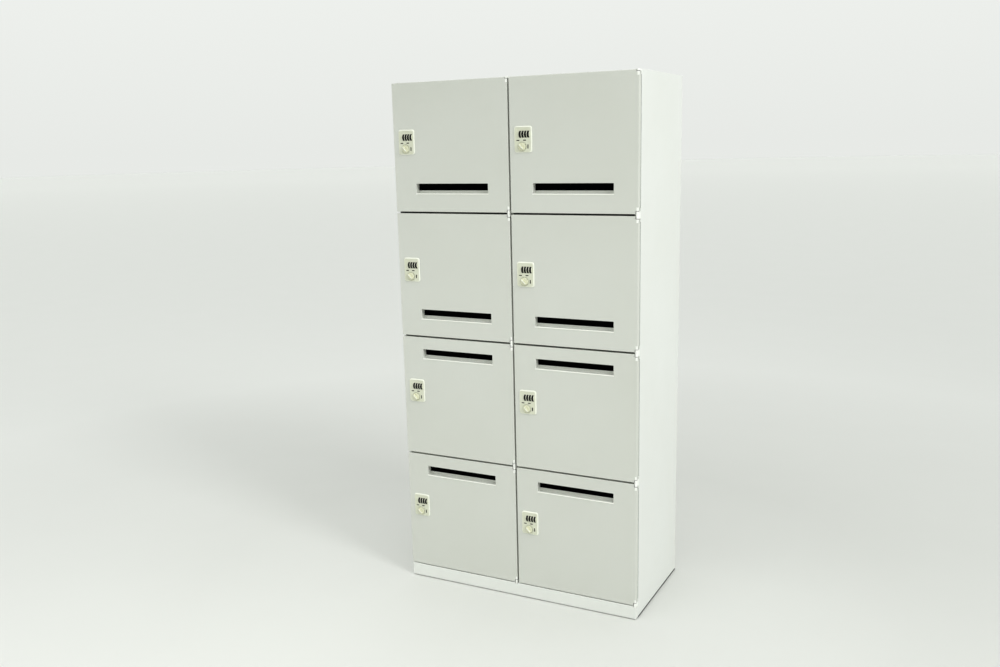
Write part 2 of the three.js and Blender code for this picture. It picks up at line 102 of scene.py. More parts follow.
PLATE = Vector((65, 0, 86)) * MM
PLATE_PROUD = 3 * MM
PLATE_ROLL = Vector((4.2, 2.6)) * MM  # width and depth of the rolled edge
PLATE_GAP = 0.3 * MM
PLATE_RIM = Vector((4.6, 2.2)) * MM  # width of the raised rim: top and right, bottom and left
PLATE_FIELD = 2.4 * MM  # the field inside the rim stands this far proud of the door
KNOB_GROOVE = Vector((13.8, 15.8)) * MM  # inner and outer radius of the groove around the knob
PLATE_CORNER = 9 * MM
CASE = Vector((56, 0, 70)) * MM
WHEEL_RADIUS = 12.8 * MM
WHEEL_WIDTH = 6.6 * MM
WHEEL_PITCH = 9.8 * MM
WHEEL_COUNT = 4
WHEEL_GAP = 0.3 * MM
DIGITS = 10
DIGIT_SIZE = 4.2 * MM
HOOD_RADIUS = 12.0 * MM
HOOD_SIDE = 2.5 * MM
KNOB_RADIUS = 13.5 * MM
KNOB_TILT = math.radians(45)  # of its grip bar at rest
SPINDLE_BORE = 4.5 * MM
CAM_THICKNESS = 2.5 * MM
CAM_END = 6 * MM  # radius of the cam's round ends
GRIP = Vector((25, 10, 6)) * MM
KEY_PLACE = Vector((17.5, 0, -23.5)) * MM  # from the plate's middle
MARKS = (Vector((-18.7, 0, -3.4)) * MM, Vector((5.6, 0, -3.1)) * MM)

# -------- materials


def srgb(red, green, blue):
    """A colour given from 0 to 255, as the linear values that shaders take."""
    shares = [value / 255 for value in (red, green, blue)]
    return [s / 12.92 if s <= 0.04045 else ((s + 0.055) / 1.055) ** 2.4 for s in shares] + [1.0]


def fill(node, values):
    """Constants for a node's sockets, by name."""
    for name, value in values.items():
        node.inputs[name].default_value = value


class Finish:
    """A material whose colour, gloss and surface vary over each object."""

    def __init__(self, name, metallic=0.0, coat=0.0, specular=0.5):
        self.material = bpy.data.materials.new(name)
        self.material.use_nodes = True
        self.tree = self.material.node_tree
        self.shader = self.tree.nodes["Principled BSDF"]
        fill(self.shader, {"Metallic": metallic, "Coat Weight": coat, "Specular IOR Level": specular})
        texture = self.add("TexCoord")
        info = self.add("ObjectInfo")
        shift = self.add("VectorMath", operation="SCALE")
        shift.inputs[0].default_value = (3.1, 4.7, 5.9)
        self.link(info.outputs["Random"], shift.inputs["Scale"])
        place = self.add("VectorMath", operation="ADD")
        self.link(texture.outputs["Object"], place.inputs[0])
        self.link(shift.outputs[0], place.inputs[1])
        self.place = place.outputs[0]

    def add(self, kind, **settings):
        node = self.tree.nodes.new(f"ShaderNode{kind}")
        for key, value in settings.items():
            setattr(node, key, value)
        return node

    def link(self, source, target):
        self.tree.links.new(source, target)

    def noise(self, scale, detail=3.0, stretch=(1, 1, 1)):
        """Grey noise with the given number of cells per metre."""
        mapping = self.add("Mapping")
        mapping.inputs["Scale"].default_value = stretch
        self.link(self.place, mapping.inputs["Vector"])
        noise = self.add("TexNoise")
        fill(noise, {"Scale": scale, "Detail": detail})
        self.link(mapping.outputs[0], noise.inputs["Vector"])
        return noise.outputs["Fac"]

    def spread(self, source, low, high, source_low=0.3, source_high=0.7):
        """A value mapped to another range."""
        spread = self.add("MapRange")
        fill(spread, {"From Min": source_low, "From Max": source_high, "To Min": low, "To Max": high})
        self.link(source, spread.inputs["Value"])
        return spread.outputs["Result"]

    def mixed(self, factor, first, second):
        """Two colours mixed by a factor; each is three numbers up to 255 or another node's output."""
        mix = self.add("Mix", data_type="RGBA")
        self.link(factor, mix.inputs["Factor"])
        for socket, colour in ((mix.inputs["A"], first), (mix.inputs["B"], second)):
            if isinstance(colour, tuple):
                socket.default_value = srgb(*colour)
            else:
                self.link(colour, socket)
        return mix.outputs["Result"]

    def product(self, first, second):
        multiply = self.add("Math", operation="MULTIPLY")
        self.link(first, multiply.inputs[0])
        self.link(second, multiply.inputs[1])
        return multiply.outputs[0]

    def edges(self, width):
        """About 1 along edges and 0 on flat faces."""
        bevel = self.add("Bevel", samples=4)
        bevel.inputs["Radius"].default_value = width
        geometry = self.add("NewGeometry")
        dot = self.add("VectorMath", operation="DOT_PRODUCT")
        self.link(bevel.outputs[0], dot.inputs[0])
        self.link(geometry.outputs["Normal"], dot.inputs[1])
        return self.spread(dot.outputs["Value"], 0.0, 1.0, 0.99, 0.80)

    def colour(self, source):
        self.link(source, self.shader.inputs["Base Color"])

    def roughness(self, source):
        self.link(source, self.shader.inputs["Roughness"])

    def bump(self, source, height, then=None):
        """Relief of the given height in metres; a second call builds on the first one's output."""
        bump = self.add("Bump")
        bump.inputs["Distance"].default_value = height
        self.link(source, bump.inputs["Height"])
        if then is not None:
            self.link(then, bump.inputs["Normal"])
        self.link(bump.outputs[0], self.shader.inputs["Normal"])
        return bump.outputs[0]


def powder_coat(name, light, dark, painted_edge_tone):
    """Sprayed and baked paint: fine orange peel and cloudy gloss; its edges and creases are mixed in patches
    towards a second tone, paler on the door, cabinet and plinth paints as a painted highlight and darker on
    the hinge paint.
    """
    finish = Finish(name)
    cloud = finish.spread(finish.noise(2.3, 4), 0, 1)
    base = finish.mixed(cloud, light, dark)
    # Painted highlight: edges paler in patches, from the bevel mask and noise (darker instead on the hinge
    # paint).
    painted_edge_mask = finish.product(finish.edges(2 * MM), finish.spread(finish.noise(60), 0.4, 0.95))
    finish.colour(finish.mixed(painted_edge_mask, base, painted_edge_tone))
    finish.roughness(finish.spread(finish.noise(9, 5), 0.40, 0.52))
    peel = finish.bump(finish.noise(420, 2), 0.06 * MM)
    finish.bump(finish.noise(1800, 1), 0.012 * MM, peel)
    return finish.material


def moulded(name, light, dark, roughness, edge, coat=0.0, specular=0.5):
    """Moulded plastic: slightly cloudy colour, fine spark texture, and edges mixed towards a paler colour as
    a painted highlight.
    """
    finish = Finish(name, coat=coat, specular=specular)
    cloud = finish.spread(finish.noise(35, 4), 0, 1)
    base = finish.mixed(cloud, light, dark)
    # Painted highlight: the edge colour, mostly paler than the body, laid along the bevel mask.
    finish.colour(finish.mixed(finish.edges(0.7 * MM), base, edge))
    finish.roughness(finish.spread(finish.noise(140, 4), roughness - 0.05, roughness + 0.08))
    finish.bump(finish.noise(2600, 2), 0.02 * MM)
    return finish.material


def zinc(name, light, dark, roughness):
    """Zinc-plated steel: small bright and dull flakes, and fine scratches along one way."""
    finish = Finish(name, metallic=1.0)
    flakes = finish.add("TexVoronoi")
    flakes.inputs["Scale"].default_value = 260
    finish.link(finish.place, flakes.inputs["Vector"])
    shade = finish.spread(flakes.outputs["Color"], 0, 1, 0, 1)
    finish.colour(finish.mixed(shade, light, dark))
    finish.roughness(finish.spread(finish.noise(220, 4), roughness - 0.08, roughness + 0.12))
    finish.bump(finish.noise(900, 3, (1, 8, 1)), 0.015 * MM)
    return finish.material


def floor_paint(name, light, dark, middle, far):
    """Matt paint that grows paler away from the locker: painted shade near the locker and painted light far
    off, as a lit studio floor shows.
    """
    finish = Finish(name)
    cloud = finish.spread(finish.noise(0.7, 3), 0, 1)
    near = finish.mixed(cloud, light, dark)
    texture = finish.add("TexCoord")
    reach = finish.add("VectorMath", operation="LENGTH")
    finish.link(texture.outputs["Object"], reach.inputs[0])
    # Painted shade: the floor's colour darkens towards the locker and pales far away.
    away = finish.spread(reach.outputs["Value"], 0, 1, 1.3, 3.6)
    beyond = finish.spread(reach.outputs["Value"], 0, 1, 6, 50)
    finish.colour(finish.mixed(beyond, finish.mixed(away, near, middle), far))
    finish.roughness(finish.spread(finish.noise(3, 4), 0.55, 0.7))
    finish.bump(finish.noise(60, 3), 0.1 * MM)
    return finish.material


DOOR_PAINT = powder_coat("door_paint", (215, 217, 211), (212, 214, 207), (248, 249, 246))
# Painted light: the cabinet and plinth paints are paler copies of the door paint, standing for the stronger
# light on the side panels and the light bounced from the floor onto the plinth.
CABINET_PAINT_WITH_PAINTED_LIGHT = powder_coat("cabinet_paint", (230, 232, 229), (227, 229, 225), (246, 247, 245))
PLINTH_PAINT_WITH_PAINTED_LIGHT = powder_coat("plinth_paint", (233, 235, 231), (229, 231, 227), (246, 247, 244))
# Painted highlight: the hinge paint is a paler copy of the door paint, standing for the light that the round
# barrels catch.
HINGE_PAINT_WITH_PAINTED_HIGHLIGHT = powder_coat("hinge_paint", (245, 246, 242), (241, 242, 238), (232, 233, 229))
CREAM = moulded("cream_plastic", (222, 224, 208), (216, 218, 200), 0.36, (232, 234, 220), 0.1)
# Partly painted highlight: the rim is a paler plastic than the field, and its pale colour also stands for
# the light on its rolled edge.
RIM_CREAM_WITH_PAINTED_HIGHLIGHT = moulded("rim_plastic", (243, 245, 234), (239, 241, 229), 0.22, (249, 250, 242), 1.0)
KNOB_CREAM = moulded("knob_plastic", (224, 225, 202), (218, 219, 195), 0.3, (238, 238, 220), 0.3)
# Partly painted highlight: white parts under the slots and on the knob grips, whose white also paints the
# highlights there.
WHITE_FOR_PAINTED_HIGHLIGHTS = moulded("white_plastic", (251, 252, 246), (247, 248, 241), 0.3, (252, 252, 248), 0.4)
BLACK = moulded("wheel_plastic", (12, 12, 11), (7, 7, 6), 0.5, (22, 22, 21), 0.0, 0.2)
FLOCK_FOR_PAINTED_SHADE = moulded("guide_flock", (9, 9, 9), (6, 6, 6), 0.9, (12, 12, 12), 0.0, 0.05)
CASE_GREY = moulded("case_plastic", (62, 63, 64), (50, 51, 52), 0.5, (86, 87, 88))
INK = moulded("digit_ink", (120, 120, 116), (104, 104, 100), 0.55, (120, 120, 116))
DARK_INK = moulded("mark_ink", (40, 40, 34), (32, 32, 27), 0.55, (46, 46, 40))
RUBBER = moulded("rubber", (38, 38, 38), (28, 28, 28), 0.75, (56, 56, 56))
ZINC = zinc("zinc_plate", (188, 190, 192), (150, 152, 156), 0.34)
FLOOR_WITH_PAINTED_SHADE = floor_paint("floor_paint", (222, 223, 220), (219, 220, 217), (239, 240, 238), (248, 249, 247))

# -------- outlines and solids

SWAPS = {
    "x": lambda u, v, w: Vector((w, u, v)),
    "y": lambda u, v, w: Vector((u, w, v)),
    "z": lambda u, v, w: Vector((u, v, w)),
}


def arc(centre, radius, start, end, steps):
    """Points of an arc in a plane, with its angles in degrees."""
    angles = [math.radians(start + (end - start) * i / steps) for i in range(steps + 1)]
    return [(centre[0] + radius * math.cos(a), centre[1] + radius * math.sin(a)) for a in angles]


def rectangle(u0, u1, v0, v1, radius, steps=5):
    """A closed rectangle with rounded corners."""
    r = radius
    corners = ((u1 - r, v1 - r), (u0 + r, v1 - r), (u0 + r, v0 + r), (u1 - r, v0 + r))
    return [p for i, c in enumerate(corners) for p in arc(c, r, 90 * i, 90 * i + 90, steps)]


def bent(path, radius, steps=5):
    """An open path with every corner between its ends turned into an arc."""
    path = [Vector(point) for point in path]
    points = [path[0]]
    for before, corner, after in zip(path, path[1:], path[2:]):
        back = (before - corner).normalized()
        onward = (after - corner).normalized()
        half = back.angle(onward) / 2
        centre = corner + (back + onward).normalized() * radius / math.sin(half)
        first = corner + back * radius / math.tan(half) - centre
        last = corner + onward * radius / math.tan(half) - centre
        turn = math.atan2(first.x * last.y - first.y * last.x, first.dot(last))
        points += [centre + Matrix.Rotation(turn * i / steps, 2) @ first for i in range(steps + 1)]
    return points + [path[-1]]


def folded(path, thickness=SHEET):
    """The closed outline of a folded sheet whose middle follows a path."""
    middle = bent(path, FOLD + thickness / 2)
    sides = ([], [])
    for i, point in enumerate(middle):
        into = (point - middle[max(i - 1, 0)]).normalized()
        out = (middle[min(i + 1, len(middle) - 1)] - point).normalized()
        along = (into + out).normalized()
        straight = max(along.dot(into), along.dot(out))
        across = Vector((-along.y, along.x)) * thickness / 2 / straight
        sides[0].append(point + across)
        sides[1].append(point - across)
    return sides[0] + sides[1][::-1]


def loft(loops, closed=False):
    """A solid whose skin runs through loops of points, capped at both ends or closed into a ring."""
    bm = bmesh.new()
    rings = [[bm.verts.new(point) for point in loop] for loop in loops]
    pairs = list(zip(rings, rings[1:] + rings[:1])) if closed else list(zip(rings, rings[1:]))
    for ring, following in pairs:
        for i in range(len(ring)):
            j = (i + 1) % len(ring)
            bm.faces.new((ring[i], ring[j], following[j], following[i]))
    if not closed:
        bm.faces.new(rings[0])
        bm.faces.new(rings[-1])
    bmesh.ops.remove_doubles(bm, verts=bm.verts, dist=1e-7)
    bmesh.ops.dissolve_degenerate(bm, dist=1e-7, edges=bm.edges)
    bmesh.ops.recalc_face_normals(bm, faces=bm.faces)
    return bm


def prism(outline, axis, start, end):
    return loft([[SWAPS[axis](u, v, w) for u, v in outline] for w in (start, end)])


def revolve(profile, axis, centre, steps=32):
    """A closed profile of (radius, height) points turned about an axis through centre."""
    loops = []
    for i in range(steps):
        angle = 2 * math.pi * i / steps
        loop = [(r * math.cos(angle), r * math.sin(angle), h) for r, h in profile]
        loops.append([Vector(centre) + SWAPS[axis](*point) for point in loop])
    return loft(loops, closed=True)


def cylinder(radius, length, chamfer, axis, centre, steps):
    """A plain rod with chamfered ends that starts at centre and runs along an axis."""
    inner = radius - chamfer
    profile = [(0, 0), (inner, 0), (radius, chamfer)]
    profile += [(radius, length - chamfer), (inner, length), (0, length)]
    return revolve(profile, axis, centre, steps)


def block(low, high, radius=0.0, steps=4):
    """A box with all its edges rounded."""
    low, high = Vector(low), Vector(high)
    bm = bmesh.new()
    bmesh.ops.create_cube(bm, size=1)
    place = Matrix.Translation((low + high) / 2) @ Matrix.Diagonal(high - low).to_4x4()
    moved(bm, place)
    if radius:
        bmesh.ops.bevel(bm, geom=bm.edges, offset=radius, segments=steps, profile=0.5, affect="EDGES")
    return bm


def oval(centre, half_x, half_z, radius, front, rear):
    """An upright plate with rounded corners around a centre, between two depths."""
    sides = (centre.x - half_x, centre.x + half_x, centre.z - half_z, centre.z + half_z)
    return prism(rectangle(*sides, radius), "y", front, rear)


def placed(name, data):
    """A new object in the scene."""
    obj = bpy.data.objects.new(name, data)
    bpy.context.scene.collection.objects.link(obj)
    return obj


def to_mesh(bm, name="solid"):
    """A mesh made from a bmesh, which is used up."""
    mesh = bpy.data.meshes.new(name)
    bm.to_mesh(mesh)
    bm.free()
    return mesh


def from_object(obj):
    """The mesh of an object with its modifiers applied; the object is used up."""
    bpy.context.view_layer.update()
    evaluated = obj.evaluated_get(bpy.context.evaluated_depsgraph_get())
    mesh = bpy.data.meshes.new_from_object(evaluated)
    bpy.data.objects.remove(obj)
    return mesh


def combined(base, joins=(), cuts=()):
    """A solid with others joined on and then others cut away, as a bmesh."""
    whole = placed("whole", to_mesh(base))
    helpers = []
    for operation, others in (("UNION", joins), ("DIFFERENCE", cuts)):
        for other in others:
            helper = placed("helper", to_mesh(other))
            modifier = whole.modifiers.new(operation, "BOOLEAN")
            modifier.operation = operation
            modifier.solver = "EXACT"
            modifier.object = helper
            helpers.append(helper)
    mesh = from_object(whole)
    for helper in helpers:
        bpy.data.objects.remove(helper)
    bm = bmesh.new()
    bm.from_mesh(mesh)
    bpy.data.meshes.remove(mesh)
    bmesh.ops.dissolve_limit(bm, angle_limit=math.radians(0.5), verts=bm.verts, edges=bm.edges)
    return bm


def gathered(solids):
    """Several separate solids in one bmesh."""
    bm = bmesh.new()
    for solid in solids:
        mesh = to_mesh(solid)
        bm.from_mesh(mesh)
        bpy.data.meshes.remove(mesh)
    return bm


def moved(solid, matrix):
    bmesh.ops.transform(solid, verts=solid.verts, matrix=matrix)
    return solid


def piece(name, bm, finish, body, replaces=(), edge=0.0):
    """A finished piece of the object, riding on a CAD body. Its cut edges are rounded by edge."""
    mesh = to_mesh(bm, name)
    mesh.materials.append(finish)
    mesh.shade_smooth()
    mesh.set_sharp_from_angle(angle=SHARP_ANGLE)
    obj = placed(name, mesh)
    if edge:
        bevel = obj.modifiers.new("rounded_edges", "BEVEL")
        bevel.width = edge
        bevel.segments = 2
        bevel.limit_method = "ANGLE"
        bevel.angle_limit = SHARP_ANGLE
    normals = obj.modifiers.new("flat_faces", "WEIGHTED_NORMAL")
    normals.keep_sharp = True
    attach(obj, body)
    if replaces:
        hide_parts(*replaces)
    return obj


# -------- cabinet


def cabinet_piece(name, bm, node, edge=0.0):
    """A painted piece of the cabinet in place of one CAD node."""
    piece(name, bm, CABINET_PAINT_WITH_PAINTED_LIGHT, "cabinet", [node], edge)


def cabinet_strip(name, bm):
    """A dark rubber strip stuck to the cabinet, whose dark colour paints the shade in a gap or under a
    panel.
    """
    piece(name, bm, RUBBER, "cabinet")


def flanged_sheet(low, high, rear_lip):
    """A level sheet folded down and back at its front, and down at its rear."""
    path = [
        (low.y + FOOT_LIP, low.z + HALF),
        (low.y + HALF, low.z + HALF),
        (low.y + HALF, high.z - HALF),
        (high.y - HALF, high.z - HALF),
        (high.y - HALF, high.z - rear_lip),
    ]
    return prism(folded(path), "x", low.x, high.x)


def side_panel(hand):
    """Skin folded in at the front and at the back."""
    node = f"side_panel_{hand}"
    low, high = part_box(node)
    outer, inner = (low.x, high.x) if hand == "left" else (high.x, low.x)
    into = 1 if hand == "left" else -1
    back_end = outer + into * REAR_LIP
    path = [
        (inner, low.y + HALF),
        (outer + into * HALF, low.y + HALF),
        (outer + into * HALF, high.y - HALF),
        (back_end, high.y - HALF),
    ]
    skin = prism(folded(path), "z", low.z + SEAL_HEIGHT - SEAL_OVERLAP, high.z)
    cabinet_piece(f"{node}_skin", skin, node, RAW_EDGE)


def floor_seal(hand):
    """Dark strip along the foot of a side panel, set back a little from its outer face; it paints the shade
    line under the panel.
    """
    low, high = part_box(f"side_panel_{hand}")
    outer, into = (low.x, 1) if hand == "left" else (high.x, -1)
    near, far = sorted((outer + into * SEAL_INSET, outer + into * SEAL_WIDTH))
    ends = (low.y + SEAL_INSET, high.y - SEAL_INSET)
    shade_strip = block((near, ends[0], 0), (far, ends[1], SEAL_HEIGHT), 0.3 * MM)
    cabinet_strip(f"side_panel_{hand}_seal", shade_strip)


def corner_cuts(low, high, reach, y0, y1):
    """Boxes that clear both ends of a panel, at its full height, over a stretch of depth."""
    z0, z1 = low.z - SHEET, high.z + SHEET
    left = block((low.x - SHEET, y0, z0), (low.x + reach, y1, z1))
    right = block((high.x - reach, y0, z0), (high.x + SHEET, y1, z1))
    return [left, right]


def top_panel():
    """Skin with its front and rear flanges cut back beside the side panels' flanges."""
    low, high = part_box("top_panel")
    side_low, side_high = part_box("side_panel_right")
    reach = side_high.x - side_low.x - SHEET
    front = corner_cuts(low, high, reach, low.y - SHEET, low.y + CORNER_DEPTH)
    rear = corner_cuts(low, high, REAR_LIP - SHEET, high.y - CORNER_DEPTH, high.y + SHEET)
    shape = combined(flanged_sheet(low, high, PANEL_LIP), cuts=front + rear)
    cabinet_piece("top_panel_skin", shape, "top_panel")


def bottom_panel():
    """Floor of the lowest compartments, folded down at the front and at the rear."""
    low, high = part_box("bottom_panel")
    path = [
        (low.y + HALF, low.z),
        (low.y + HALF, high.z - HALF),
        (high.y - HALF, high.z - HALF),
        (high.y - HALF, high.z - PANEL_LIP),
    ]
    sheet = prism(folded(path), "x", low.x, high.x)
    cuts = corner_cuts(low, high, BOTTOM_CORNER, low.y - SHEET, low.y + CORNER_DEPTH)
    cabinet_piece("bottom_panel_skin", combined(sheet, cuts=cuts), "bottom_panel")


def back_panel():
    """Flat sheet with shallow upright ribs pressed out of it."""
    low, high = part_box("back_panel")
    middle = (low.y + high.y) / 2
    path = [(low.x, middle)]
    for i in range(-2, 3):
        rib = i * RIB_PITCH
        path += [
            (rib - RIB_HALF - RIB_SLOPE, middle),
            (rib - RIB_HALF, middle + RIB_RISE),
            (rib + RIB_HALF, middle + RIB_RISE),
            (rib + RIB_HALF + RIB_SLOPE, middle),
        ]
    path.append((high.x, middle))
    sheet = prism(folded(path), "z", low.z, high.z)
    cabinet_piece("back_panel_sheet", sheet, "back_panel", RAW_EDGE)


def centre_partition():
    """Two sheets back to back, each with its own front flange."""
    low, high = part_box("centre_partition")
    top_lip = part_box("top_panel")[0]
    under_top = (
        Vector((low.x - SHEET, low.y - SHEET, top_lip.z - CLEARANCE)),
        Vector((high.x + SHEET, low.y + FOOT_LIP + CLEARANCE, high.z + SHEET)),
    )
    shapes = []
    for hand in (-1, 1):
        path = [
            (hand * high.x, low.y + HALF),
            (hand * HALF, low.y + HALF),
            (hand * HALF, high.y),
        ]
        sheet = prism(folded(path), "z", low.z, high.z)
        shapes.append(combined(sheet, cuts=[block(*under_top)]))
    cabinet_piece("partition_sheets", gathered(shapes), "centre_partition")


def shelf(column, number):
    """Sheet with a front and a rear flange."""
    node = f"shelf_{column}_{number}"
    cabinet_piece(f"{node}_sheet", flanged_sheet(*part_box(node), REAR_LIP), node, RAW_EDGE)


def shelf_strip(column, number):
    """Rubber strip along the shelf's front, behind the gap between two doors; its dark colour paints the
    shade in that gap.
    """
    low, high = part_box(f"shelf_{column}_{number}")
    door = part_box(f"door_{column}_{number}")[0]
    gap = (door.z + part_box(f"door_{column}_{number + 1}")[1].z) / 2
    left = door.x + (1 if column == "left" else -2) * MM
    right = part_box(f"hinge_bracket_{column}_{number + 1}")[0].x - 0.5 * MM
    front = low.y - 2.9 * MM
    foot = max(gap - 9 * MM, low.z)
    path = rectangle(front, front + STRIP_THICKNESS, foot, high.z + 1 * MM, 0.5 * MM)
    cabinet_strip(f"shelf_{column}_{number}_strip", prism(path, "x", left, right))


def hinge_side_strip(row):
    """Rubber strip on the right side panel's front flange, behind a door's hinged edge; its dark colour
    paints the shade in the gap beside the door.
    """
    panel_low, panel_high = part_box("side_panel_right")
    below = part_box(f"hinge_bracket_right_{row + 1}")[1].z + 2 * MM
    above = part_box(f"hinge_bracket_right_{row}")[0].z - 2 * MM
    low = (panel_high.x - 9 * MM, panel_low.y - 2.2 * MM, below)
    shade_strip = block(low, (panel_high.x - 0.6 * MM, panel_low.y - 0.1 * MM, above), 0.4 * MM)
    cabinet_strip(f"side_panel_right_strip_{row}", shade_strip)


def plinth():
    """Channel open at its rear, notched for the lowest hinge brackets."""
    low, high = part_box("base_plinth")
    wall, over = PLINTH_WALL, 9 * MM
    outer = block(low, high + Vector((0, 3 * MM, 0)), 2 * MM)
    hollow = block(low + Vector((wall, wall, wall)), high + Vector((-wall, over, -wall)), 0.8 * MM)
    rear = block(Vector((low.x - wall, high.y, low.z - wall)), high + Vector((wall, over, wall)))
    notches = []
    for column in COLUMNS:
        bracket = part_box(f"hinge_bracket_{column}_5")
        axis = hinge_axis(f"{column}_4")
        notch_low = (axis.x - 5.3 * MM, low.y - wall, bracket[0].z - CLEARANCE)
        notches.append(block(notch_low, (axis.x + 6 * MM, high.y + wall, high.z + wall)))
    shape = combined(outer, cuts=[hollow, rear, *notches])
    piece("plinth_channel", shape, PLINTH_PAINT_WITH_PAINTED_LIGHT, "cabinet", ["base_plinth"])


def levelling_foot(end, hand):
    """Moulded pad, threaded stud and lock nut."""
    node = f"levelling_foot_{end}_{hand}"
    low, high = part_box(node)
    centre = Vector(((low.x + high.x) / 2, (low.y + high.y) / 2, 0))
    radius = (high.x - low.x) / 2
    pad = [(0, 0), (radius - 1 * MM, 0), (radius, 1 * MM), (radius, 3 * MM)]
    pad += [(radius - 5 * MM, 7 * MM), (8 * MM, 8 * MM), (0, 8 * MM)]
    piece(f"{node}_pad", revolve(pad, "z", centre), RUBBER, "cabinet", [node])
    thread = [(0, 7 * MM)]
    height = 7 * MM
    while height < high.z - 1.2 * MM:
        thread += [(3.5 * MM, height), (4 * MM, height + 0.5 * MM)]
        height += 1 * MM
    thread += [(3.5 * MM, high.z), (0, high.z)]
    stud = revolve(thread, "z", centre, 20)
    hexagon = arc((centre.x, centre.y), 9 * MM, 0, 300, 5)
    nut = prism(hexagon, "z", high.z - 10.5 * MM, high.z - 3.5 * MM)
    steel = gathered([stud, nut])
    piece(f"{node}_stud", steel, ZINC, "cabinet", edge=0.3 * MM)


# -------- hinges

AXES = {joint["child"]: Vector(joint["pos_m"]) for joint in frame["joints"]}


def hinge_axis(label):
    return AXES[f"door_{label}"]


def screw_head(radius, place, facing):
    """Countersunk cross-head screw, its face towards -Y (facing -1) or +Y (facing 1)."""
    rise = 0.35 * MM
    profile = [(0, -1 * MM), (radius * 0.6, -1 * MM), (radius, 0)]
    profile += [(radius * 0.9, rise * 0.6), (radius * 0.5, rise), (0, rise)]
    head = revolve(profile, "z", (0, 0, 0), 24)
    arm, width = radius * 0.62, radius * 0.13
    cross = [
        block((-arm, -width, -rise * 2), (arm, width, 2 * rise)),
        block((-width, -arm, -rise * 2), (width, arm, 2 * rise)),
    ]
    head = combined(head, cuts=cross)
    turn = Matrix.Rotation(math.radians(90 if facing < 0 else -90), 4, "X")
    return moved(head, Matrix.Translation(place) @ turn)


def hinge_bracket(column, number):
    """Barrel, arm and screwed foot, with a steel pin for each door that it carries."""
    node = f"hinge_bracket_{column}_{number}"
    low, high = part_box(node)
    axis = hinge_axis(f"{column}_1")
    plinth_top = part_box("base_plinth")[1].z
    barrel_low = low.z if number == 5 else low.z + PIN_REACH
    barrel_high = high.z if number == 1 else high.z - PIN_REACH
    arm_left, arm_right = axis.x - ARM_LEFT, axis.x + ARM_RIGHT
    start = math.degrees(math.acos(-ARM_LEFT / KNUCKLE_RADIUS))
    end = 360 - math.degrees(math.acos(ARM_RIGHT / KNUCKLE_RADIUS))
    foot = high.y - FOOT_THICKNESS
    plan = arc((axis.x, axis.y), KNUCKLE_RADIUS, start, end, 24)
    plan += [(arm_right, high.y), (low.x, high.y), (low.x, foot), (arm_left, foot)]
    body = prism(plan, "z", barrel_low, barrel_high)
    if number == 5:
        below = (low.x - SHEET, high.y - 3 * MM, low.z - SHEET)
        above = (axis.x - 5 * MM, high.y + SHEET, plinth_top + CLEARANCE)
        body = combined(body, cuts=[block(below, above)])
    piece(f"{node}_body", body, HINGE_PAINT_WITH_PAINTED_HIGHLIGHT, "cabinet", [node], 0.35 * MM)
    pin = cylinder(PIN_RADIUS, high.z - low.z, 0.5 * MM, "z", (axis.x, axis.y, low.z), 24)
    middle = (max(barrel_low, plinth_top) + barrel_high) / 2
    heads = [] if number == 1 else [screw_head(2.6 * MM, (axis.x - 9 * MM, foot, middle), -1)]
    piece(f"{node}_pin", gathered([pin, *heads]), ZINC, "cabinet")


# -------- doors


def slot_of(label):
    """The mail slot's (x0, x1, z0, z1), from the record's stated opening."""
    name = f"mail_slot_{label}"
    boxes = [o["box_m"] for o in frame["record"]["physics"]["openings"] if o["name"] == name]
    (x0, _, z0), (x1, _, z1) = boxes[0]
    return x0 - SLOT_SIDE, x1 + SLOT_SIDE, z0 - SLOT_SILL, z1 + SLOT_SIDE


def slot_cavity(slot, front, rear):
    """Cutter for the slot's recess, flared so that the door's skin rolls into it."""
    x0, x1, z0, z1 = slot
    steps = 6
    depths = [SLOT_EDGE * i / steps for i in range(steps + 1)]
    flares = [(d, SLOT_EDGE - math.sqrt(SLOT_EDGE**2 - (SLOT_EDGE - d) ** 2)) for d in depths]
    sections = [(-SHEET, SLOT_EDGE + SHEET), *flares, (rear - front, 0)]
    loops = []
    for depth, flare in sections:
        outline = rectangle(x0 - flare, x1 + flare, z0 - flare, z1 + flare, 1.2 * MM + flare)
        loops.append([SWAPS["y"](u, v, front + depth) for u, v in outline])
    return loft(loops)


def knuckle_ends(label):
    """Heights of the free ends of a door's lower and upper knuckles."""
    column, row = label.split("_")
    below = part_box(f"hinge_bracket_{column}_{int(row) + 1}")[1].z - PIN_REACH
    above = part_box(f"hinge_bracket_{column}_{row}")[0].z + PIN_REACH
    return below + KNUCKLE_GAP, above - KNUCKLE_GAP


